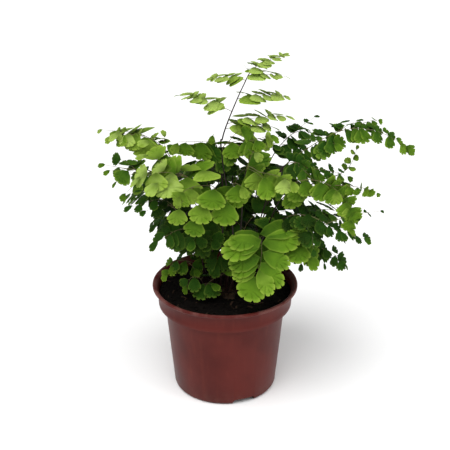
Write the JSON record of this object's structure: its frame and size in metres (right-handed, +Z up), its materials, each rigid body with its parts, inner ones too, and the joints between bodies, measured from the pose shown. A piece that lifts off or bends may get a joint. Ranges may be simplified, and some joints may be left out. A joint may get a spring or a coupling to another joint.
{
  "type": "potted fern",
  "caption": "Maidenhair fern with arching wiry fronds of small fan-shaped leaflets, growing from a rhizome in soil in a round tapered plastic nursery pot.",
  "frame": {"origin": "middle of the pot's flat underside, where it stands on the shelf", "axes": "+Z up along the pot's axis, -Y towards the front of the plant, +X to the right seen from the front"},
  "size_m": [0.2466, 0.161, 0.2806],
  "materials": {
    "pot_plastic": "satin",
    "potting_soil": "matte",
    "rhizome_bark": "matte",
    "fern_frond": "satin"
  },
  "bodies": {
    "root": {"pot": "pot_plastic", "soil": "potting_soil", "rhizome": "rhizome_bark", "frond_front": "fern_frond", "frond_front_right": "fern_frond", "frond_front_left": "fern_frond", "frond_front_centre": "fern_frond", "frond_centre_right": "fern_frond", "frond_left_bright": "fern_frond", "frond_top_tall": "fern_frond", "frond_right_main": "fern_frond", "frond_left_upper": "fern_frond", "frond_left_middle": "fern_frond", "frond_left_low": "fern_frond", "frond_left_rim": "fern_frond", "frond_left_soil": "fern_frond", "frond_soil_front": "fern_frond", "frond_centre_left": "fern_frond", "frond_centre": "fern_frond", "frond_right_back": "fern_frond", "frond_right_second": "fern_frond", "frond_right_young": "fern_frond", "frond_right_hanging": "fern_frond", "frond_right_low": "fern_frond", "frond_right_lowest": "fern_frond", "frond_inner_right": "fern_frond", "frond_inner_front": "fern_frond", "frond_inner_left": "fern_frond", "frond_inner_back": "fern_frond", "frond_inner_low_right": "fern_frond", "frond_inner_low_left": "fern_frond", "frond_inner_centre": "fern_frond", "frond_inner_mid": "fern_frond", "frond_inner_high": "fern_frond", "frond_back_top": "fern_frond", "frond_back_left": "fern_frond", "frond_back_centre": "fern_frond", "frond_back_right": "fern_frond", "frond_back_far_left": "fern_frond", "frond_back_far_right": "fern_frond", "frond_back_low_left": "fern_frond", "frond_back_low_right": "fern_frond", "frond_back_low_centre": "fern_frond", "frond_side_right": "fern_frond", "frond_side_left": "fern_frond"}
  },
  "joints": []
}
